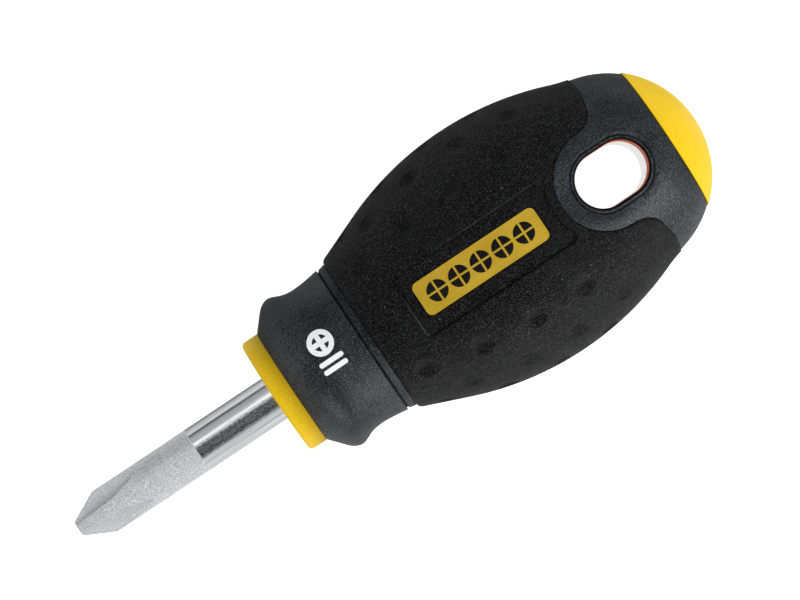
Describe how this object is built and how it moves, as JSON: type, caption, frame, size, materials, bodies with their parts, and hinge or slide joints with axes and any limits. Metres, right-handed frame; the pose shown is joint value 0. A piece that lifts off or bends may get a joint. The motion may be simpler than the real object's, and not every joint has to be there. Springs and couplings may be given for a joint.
{
  "type": "screwdriver",
  "caption": "Stubby cross-head screwdriver with a fixed short steel blade, a yellow front collar, a soft dimpled belly grip, a yellow domed end and a hang hole through the tail.",
  "frame": {"origin": "the end of the cross tip, on the blade's axis", "axes": "+X along the axis from the tip to the domed end, +Z out of the face with the nameplate and along the hang hole, +Y to the left seen from above with the tip at the rear"},
  "size_m": [0.0926, 0.0326, 0.0325],
  "materials": {
    "plated_steel": "bright plating, sand-blasted on the front half",
    "yellow_plastic": "semi-gloss moulded",
    "nose_plastic": "fine matt texture",
    "grey_plastic": "fine matt texture",
    "black_rubber": "soft matt",
    "gold_label": "satin gold",
    "white_ink": "printed"
  },
  "bodies": {
    "root": {"blade": "plated_steel", "core": "yellow_plastic", "front_collar": "yellow_plastic", "end_cap": "yellow_plastic", "nose_sleeve": "nose_plastic", "body_shell": "grey_plastic", "grip": "black_rubber", "nameplate": "gold_label", "tip_mark": "white_ink"}
  },
  "joints": []
}
